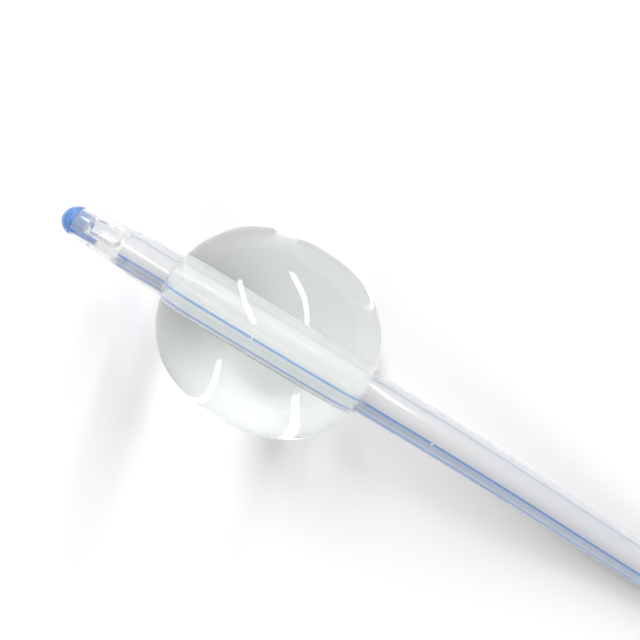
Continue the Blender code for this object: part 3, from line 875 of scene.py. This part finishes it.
@dataclass
class Balloon:
    """The balloon's sleeve, the water that it holds and the bond of its rear cuff."""

    head: Head
    finishes: Finishes
    cuff_wall: float = 0.2 * MM
    cuff_length: float = 4.8 * MM
    steps: int = 160
    pull_side: float = 0.45 * MM
    pull_front: float = 0.3 * MM
    bond_start: float = 2.2 * MM
    bond_inset: float = 0.08 * MM
    bond_clearance: float = 0.02 * MM
    bond_steps: int = 64
    bubble: float = 0.16 * MM
    bubble_sides: Span = (-25.0, 115.0)

    @property
    def bore(self) -> float:
        """The radius of the cuffs' bore."""
        return self.head.seat_radius + self.head.bond_gap

    def settle(self, mesh: Mesh) -> None:
        """Press the balloon flat on the table, and draw in its right-hand side and front.

        Args:
            mesh: the mesh, in the head's frame.
        """
        head = self.head
        place = head.place
        back = place.inverted()
        widest = head.balloon_od / 2
        for point in mesh.verts:
            world = place @ point.co
            if world.z < 0.0:
                world.z = 0.0
                point.co = back @ world
            radius = math.hypot(point.co.y, point.co.z)
            out = max(0.0, (radius - self.bore) / (widest - self.bore))
            if point.co.y < 0.0:
                point.co.y += self.pull_side * out * -point.co.y / widest
            if point.co.x < 0.0:
                point.co.x += self.pull_front * min(1.0, 2 * out) * -point.co.x / head.half

    def build(self) -> None:
        """Make the filled balloon and the bond of its rear cuff.

        The skin and the water bend light alike, so they are one clear body round the shaft.
        """
        head = self.head
        neck = self.bore + self.cuff_wall
        collar = head.collar_radius
        lip = self.cuff_wall / 2
        cuff_front = -head.half - self.cuff_length
        cuff_rear = head.half + head.collar_outside
        shoulder = head.seat_rear + head.shoulder
        dry = head.shaft_od / 2 + head.bond_gap
        profile = [
            (cuff_front, self.bore),
            (cuff_front, self.bore + lip / 2),
            (cuff_front + self.cuff_length / 3, neck),
            *head.balloon_curve(neck, collar),
            (cuff_rear - lip, collar),
            (cuff_rear, collar - lip),
            (cuff_rear, dry),
            (shoulder, dry),
            (head.seat_rear, self.bore),
        ]
        mesh = spun(profile, self.steps)
        for face in mesh.faces:
            middle = face.calc_center_median()
            bore = dry if middle.x > head.seat_rear else self.bore
            if math.hypot(middle.y, middle.z) <= bore:
                face.material_index = 1
            elif abs(middle.x) > head.half - head.wall / 2:
                face.material_index = 2
        self.settle(mesh)
        looks = (self.finishes.skin, self.finishes.wet, self.finishes.cuff)
        filled = piece("filled_balloon", mesh, [look.build() for look in looks], head.place)
        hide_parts("balloon_sleeve", "balloon_fill")
        self.bond()

    def bond(self) -> None:
        """Make the soft ring of glue inside the rear cuff, with its two small bubbles."""
        head = self.head
        inner = head.shaft_od / 2 + self.bond_clearance
        start = head.seat_rear + self.bond_start
        end = head.half + head.collar_outside / 2
        full = head.collar_radius - self.bond_inset
        soft = self.bubble
        profile = [(start, inner), (start + soft, full), (end - soft, full), (end, inner)]
        mesh = spun(profile, self.bond_steps)
        for side in self.bubble_sides:
            middle = around(full, side) + Vector((head.half - 4 * self.bubble, 0.0, 0.0))
            bmesh.ops.create_icosphere(
                mesh, subdivisions=3, radius=self.bubble, matrix=Matrix.Translation(middle)
            )
        made = piece("cuff_bond", mesh, [self.finishes.glue.build()], head.place)


# ---- the shaft


@dataclass
class Hub:
    """The frame of the drainage funnel: X from the shaft's entry to the mouth."""

    x: float = 114.0 * MM
    y: float = 9.6 * MM
    bead_radius: float = 6.3 * MM
    socket_depth: float = 8.8 * MM
    arm_at: float = 14.0 * MM
    arm_angle: float = math.radians(40.0)

    @property
    def place(self) -> Matrix:
        """The funnel's place in the row."""
        lift = Matrix.Translation((self.x, self.y, self.bead_radius))
        return lift @ Matrix.Rotation(math.pi, 4, "Z")

    @property
    def arm(self) -> Matrix:
        """The inflation arm's place in the row: X from the funnel to the valve."""
        start = Matrix.Translation((self.arm_at, 0.0, 0.0))
        return self.place @ start @ Matrix.Rotation(-self.arm_angle, 4, "Z")


@dataclass
class Shaft:
    """The long two-lumen tube along its way from the tip to the funnel."""

    head: Head
    hub: Hub
    finishes: Finishes
    from_tip: float = 8.36 * MM
    neck: float = 0.3 * MM  # of the rear cuff, where the shaft is dry
    ring_spacing: float = 1.2 * MM
    drain_radius: float = 1.3 * MM
    drain_offset: float = 0.15 * MM
    inflation_radius: float = 0.38 * MM
    inflation_offset: float = 1.9 * MM
    outer_steps: int = 48
    drain_steps: int = 20
    inflation_steps: int = 10
    end_slack: float = 0.1 * MM
    skin_from: float = 2.3 * MM  # farther out than any lumen's wall
    twist: float = math.radians(0.02)  # for each millimetre
    way: list[Point] = field(
        default_factory=lambda: [
            (22.0, 0.0, 9.99), (28.0, -0.03, 9.18), (34.0, -0.08, 8.07), (40.0, -0.15, 6.78),
            (46.0, -0.25, 5.49), (52.0, -0.36, 4.35), (58.0, -0.47, 3.48), (64.0, -0.57, 2.97),
            (70.0, -0.65, 2.76), (78.0, -0.74, 2.7), (92.0, -0.85, 2.7), (106.0, -0.9, 2.7),
            (120.0, -0.8, 2.8), (130.0, -0.7, 3.2), (136.0, -0.66, 3.37), (142.0, -0.66, 3.37),
            (148.0, -0.66, 3.37), (154.0, -1.2, 3.2), (163.0, -3.1, 2.85), (173.0, -5.8, 2.7),
            (182.0, -8.2, 2.7), (191.6, -9.4, 2.7), (200.0, -8.0, 2.7), (206.5, -2.5, 2.7),
            (209.4, 5.6, 2.7), (208.0, 14.0, 2.7), (202.5, 20.5, 2.7), (194.4, 23.4, 2.7),
            (186.0, 22.6, 2.7), (176.0, 19.0, 2.75), (166.0, 14.0, 2.95), (156.0, 9.2, 3.25),
            (148.0, 6.9, 3.37), (142.0, 6.6, 3.37), (136.0, 6.7, 3.5), (130.0, 7.5, 4.2),
            (124.0, 8.8, 5.4), (119.0, 9.5, 6.15),
        ]
    )  # in millimetres, as the CAD's route

    def centres(self) -> list[tuple[Vector, float]]:
        """Return the middle of each ring with its outer radius."""
        head = self.head
        place = head.place
        front = head.tip_end + self.from_tip
        shoulder = head.seat_rear + head.shoulder
        run_out = shoulder + head.shaft_od / 2
        full = head.shaft_od / 2
        line = []
        count = round((run_out - front) / self.ring_spacing)
        for step in range(count):
            along = front + (run_out - front) * step / count
            share = min(1.0, max(0.0, (along - head.seat_rear) / head.shoulder))
            radius = head.seat_radius + (full - head.seat_radius) * share
            line.append((place @ Vector((along, 0.0, 0.0)), radius))
        hub = self.hub.place
        route = [
            place @ Vector((head.seat_rear, 0.0, 0.0)),
            place @ Vector((run_out, 0.0, 0.0)),
            *(Vector(point) * MM for point in self.way),
            hub @ Vector((-full, 0.0, 0.0)),
            hub @ Vector((0.0, 0.0, 0.0)),
        ]
        line += [(point, full) for point in spaced(catmull(route), self.ring_spacing)]
        depth = self.hub.socket_depth - head.bond_gap
        count = round((depth + full) / self.ring_spacing)
        for step in range(1, count + 1):
            along = -full + (depth + full) * step / count
            line.append((hub @ Vector((along, 0.0, 0.0)), full))
        return line

    def sweep(
        self,
        mesh: Mesh,
        line: list[tuple[Vector, float]],
        radius: float | None,
        offset: float,
        steps: int,
        layer: bmesh.types.BMLayerItem,
    ) -> list[list[bmesh.types.BMEdge]]:
        """Draw one round wall along the tube.

        Args:
            mesh: the mesh that it is added to.
            line: the tube's middle and outer radius, ring by ring.
            radius: the wall's radius, or None for the outer face.
            offset: how far its middle lies towards the inflation side.
            steps: how many steps go round.
            layer: the attribute that takes the turn and the length.

        Returns:
            The edges of its first and last rings.
        """
        length = 0.0
        rim = bmesh.ops.create_circle(mesh, segments=steps, radius=1.0)["verts"]
        for number, point in enumerate(rim):
            turn = math.tau * number / steps
            point[layer] = Vector((math.cos(turn), math.sin(turn), 0.0))
        edges = list({edge for point in rim for edge in point.link_edges})
        first = edges
        for index, (centre, outer) in enumerate(line):
            ahead = line[min(index + 1, len(line) - 1)][0]
            behind = line[max(index - 1, 0)][0]
            way = (ahead - behind).normalized()
            level = way.cross(Vector((0.0, 0.0, 1.0))).normalized()
            above = level.cross(way)
            if index:
                length += (centre - line[index - 1][0]).length
                grown = bmesh.ops.extrude_edge_only(mesh, edges=edges)["geom"]
                rim = [part for part in grown if isinstance(part, bmesh.types.BMVert)]
                kept = set(rim)
                lines = (part for part in grown if isinstance(part, bmesh.types.BMEdge))
                edges = [edge for edge in lines if set(edge.verts) <= kept]
            side = math.radians(INFLATION_SIDE) + self.twist * length / MM
            band = above * math.cos(side) + level * math.sin(side)
            beside = band.cross(way)
            middle = centre + band * offset
            size = outer if radius is None else radius
            for point in rim:
                cosine, sine, _ = point[layer]
                point.co = middle + (band * cosine - beside * sine) * size
                point[layer] = Vector((cosine, sine, length))
        return [first, edges]

    def build(self, tie: Piece) -> None:
        """Make the tube, with its drain and its inflation lumen.

        Args:
            tie: the band round the folded shaft; not used.
        """
        line = self.centres()
        mesh = bmesh.new()
        layer = mesh.verts.layers.float_vector.new("around")
        walls = (
            (None, 0.0, self.outer_steps),
            (self.drain_radius, -self.drain_offset, self.drain_steps),
            (self.inflation_radius, self.inflation_offset, self.inflation_steps),
        )
        rims = [self.sweep(mesh, line, *wall, layer) for wall in walls]
        for end in zip(*rims):
            bmesh.ops.triangle_fill(mesh, use_beauty=True, edges=sum(end, []))
        bmesh.ops.recalc_face_normals(mesh, faces=mesh.faces)
        half = self.head.half
        front = self.head.tip_end + self.from_tip + self.end_slack
        back = self.head.place.inverted()
        for face in mesh.faces:
            middle = back @ face.calc_center_median()
            covered = middle.x < front or -half < middle.x < half - self.neck
            if covered and abs(middle.y) < half:
                points = (back @ point.co for point in face.verts)
                outside = min(math.hypot(point.y, point.z) for point in points) > self.skin_from
                face.material_index = 1 if outside else 2
        looks = (self.finishes.shaft, self.finishes.shaft_wet, self.finishes.lumen)
        tube = piece("striped_shaft", mesh, [look.build() for look in looks])
        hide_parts("catheter_shaft")


# ---- the far end


@dataclass
class Tail:
    """The funnel, its size ring, its sprung valve and the tie."""

    hub: Hub
    finishes: Finishes
    way_in: Point = (0.766044, -0.642788, 0.0)  # the way that the plunger goes
    spring_seat: Point = (0.087513, 0.020077, 0.0063)
    squashed: float = 0.71  # of the spring's length, with the plunger pushed in

    def build(self) -> Piece:
        """Make the funnel and the spring, and dress the other nodes.

        Returns:
            The tie's object.
        """
        funnel = merged_copy("drainage_funnel")
        milky = [self.finishes.funnel.build()]
        made = stand_in("milky_funnel", "drainage_funnel", funnel, milky)
        polish(made, [self.hub.place, self.hub.arm])
        coil = merged_copy("valve_spring")
        steel = [self.finishes.steel.build()]
        made = stand_in("check_spring", "valve_spring", coil, steel)
        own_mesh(made)
        dress("size_ring", self.finishes.orange.build())
        white = self.finishes.white.build()
        for node in ("valve_housing", "valve_plunger", "valve_retainer"):
            dress(node, white)
        dress("valve_seal", self.finishes.rubber.build())
        dress("storage_tie", self.finishes.film.build())
        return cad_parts["storage_tie"]


# ---- the studio


@dataclass(frozen=True)
class Lamp:
    """One soft lamp with an oblong face that looks at the balloon."""

    name: str
    place: Point
    wide: float
    long: float
    glow: float
    along: Point = (1.0, 0.0, 0.0)
    plain: bool = False

    def hang(self, target: Vector) -> None:
        """Hang the lamp so that it faces the target.

        Args:
            target: the point that it looks at.
        """
        data = bpy.data.lights.new(self.name, "AREA")
        data.shape = "RECTANGLE"
        data.size = self.long
        data.size_y = self.wide
        data.energy = self.glow * math.pi * self.long * self.wide
        away = (Vector(self.place) - target).normalized()
        across = away.cross(Vector(self.along)).normalized()
        matrix = Matrix((across.cross(away), across, away)).transposed().to_4x4()
        matrix.translation = Vector(self.place)
        lamp = bpy.data.objects.new(self.name, data)
        lamp.matrix_world = matrix
        if self.plain:  # it lights softly, with no square gleam on the balloon
            lamp.visible_glossy = False
            lamp.visible_transmission = False
        bpy.context.collection.objects.link(lamp)


@dataclass(frozen=True)
class Studio:
    """The camera, the floor and the light."""

    azimuth: float = 6.924
    elevation: float = 81.304
    roll: float = 23.713
    target: Point = (4.431, 4.6, 11.65)  # in millimetres
    distance: float = 71.648 * MM
    focal_pixels: float = 591.223
    sensor: float = 36.0
    floor_half: float = 3.0
    floor_drop: float = 0.02 * MM
    floor_colour: Colour = (0.86, 0.855, 0.865)
    floor_roughness: float = 0.7
    floor_gloss: float = 0.2
    floor_lift: float = 0.14
    far_lift: float = 0.7  # where the lamps hardly reach
    lamp_reach: Span = (0.25, 1.3)
    world_top: float = 0.34
    world_side: float = 0.24
    lamp_target: Point = (0.0, 0.0, 12.0)  # in millimetres

    def axes(self) -> tuple[Vector, Vector, Vector]:
        """Return the picture's right and up, and the way back to the camera."""
        turn = math.radians(self.azimuth)
        lift = math.radians(self.elevation)
        spin = math.radians(self.roll)
        level = math.cos(lift)
        back = Vector((math.sin(turn) * level, -math.cos(turn) * level, math.sin(lift)))
        right = Vector((math.cos(turn), math.sin(turn), 0.0))
        up = back.cross(right)
        turned_right = right * math.cos(spin) + up * math.sin(spin)
        turned_up = up * math.cos(spin) - right * math.sin(spin)
        return turned_right, turned_up, back

    def camera(self) -> None:
        """Set up the camera where the photograph was taken from."""
        right, up, back = self.axes()
        matrix = Matrix((right, up, back)).transposed().to_4x4()
        matrix.translation = Vector(self.target) * MM + back * self.distance
        data = bpy.data.cameras.new("camera")
        data.sensor_width = self.sensor
        data.lens = data.sensor_width * self.focal_pixels / IMAGE_SIDE
        data.clip_start = 1.0 * MM
        camera = bpy.data.objects.new("camera", data)
        camera.matrix_world = matrix
        bpy.context.collection.objects.link(camera)
        bpy.context.scene.camera = camera

    def floor(self) -> None:
        """Lay the plain pale floor, lifted to white where the eye meets it."""
        mesh = bmesh.new()
        bmesh.ops.create_grid(mesh, x_segments=1, y_segments=1, size=self.floor_half)
        bmesh.ops.translate(mesh, vec=(0.0, 0.0, -self.floor_drop), verts=mesh.verts)
        data = bpy.data.meshes.new("floor")
        mesh.to_mesh(data)
        mesh.free()
        shader = Shader("floor")
        main = shader.node(
            "BsdfPrincipled",
            base_color=self.floor_colour,
            roughness=self.floor_roughness,
            specular_ior_level=self.floor_gloss,
        )
        at = shader.node("TexCoord").outputs["Object"]
        away = shader.node("VectorMath", operation="LENGTH", vector=at).outputs["Value"]
        lifts = (self.floor_lift, self.far_lift)
        lift = shader.graded(away, self.lamp_reach, lifts, Way.EASED)
        path = shader.node("LightPath").outputs
        bent = shader.maths("MAXIMUM", path["Is Glossy Ray"], path["Is Transmission Ray"])
        seen = shader.maths("MAXIMUM", path["Is Camera Ray"], bent)
        glow = shader.node("Emission", strength=shader.maths("MULTIPLY", seen, lift))
        both = shader.node("AddShader")
        for target, part in zip(both.inputs, (main, glow)):
            shader.feed(target, part.outputs[0])
        shader.finish(both)
        data.materials.append(shader.material)
        floor = bpy.data.objects.new("floor", data)
        bpy.context.collection.objects.link(floor)
        floor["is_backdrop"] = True

    def surroundings(self) -> None:
        """Set the plain pale room: brighter overhead, dimmer round the sides."""
        world = bpy.data.worlds.new("studio")
        room = Nodes(world)
        back = room.tree.nodes["Background"].inputs
        at = room.node("TexCoord").outputs["Generated"]
        height = room.node("SeparateXYZ", vector=at).outputs["Z"]
        light = room.graded(height, WHOLE, (self.world_side, self.world_top))
        eye = room.node("LightPath").outputs["Is Camera Ray"]
        room.feed(back["Color"], (1.0, 1.0, 1.0))
        room.feed(back["Strength"], room.mixed(eye, light, 1.0, Kind.NUMBERS))
        bpy.context.scene.world = world

    def lamps(self) -> None:
        """Hang the two strips and the soft fill."""
        target = Vector(self.lamp_target) * MM
        for lamp in (
            Lamp("left_strip", (-0.193, 0.114, 0.5), 0.042, 0.46, 19.5, (-0.694, 0.72, 0.0)),
            Lamp("right_strip", (0.11, 0.53, 0.5), 0.045, 0.66, 31.5, (-0.28, 0.96, 0.0)),
            Lamp("front_fill", (0.1, -0.4, 0.36), 0.3, 0.3, 2.3, plain=True),
        ):
            lamp.hang(target)

    def build(self) -> None:
        """Set up the whole studio."""
        self.camera()
        self.floor()
        self.surroundings()
        self.lamps()
        bpy.context.scene.view_settings.view_transform = "Standard"


def corners(box: tuple[Vector, Vector]) -> list[list[float]]:
    """Return a box as plain lists of numbers."""
    return [list(box[0]), list(box[1])]


def main() -> None:
    """Build the catheter and its studio."""
    logging.basicConfig(level=logging.INFO, format="%(name)s: %(message)s")
    cad_box = corners(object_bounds())
    Studio().build()
    finishes = Finishes()
    head = Head()
    hub = Hub()
    tie = Tail(hub, finishes).build()
    Shaft(head, hub, finishes).build(tie)
    Balloon(head, finishes).build()
    Tip(head, finishes).build()
    with_sizes = {"cad": cad_box, "visual": corners(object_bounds())}
    keep_sizes(with_sizes)


def keep_sizes(sizes: dict[str, list[list[float]]]) -> None:
    """Log both boxes for comparison.

    Args:
        sizes: each box by name.
    """
    log.info("sizes %s", json.dumps(sizes))


if __name__ == "__main__":
    main()
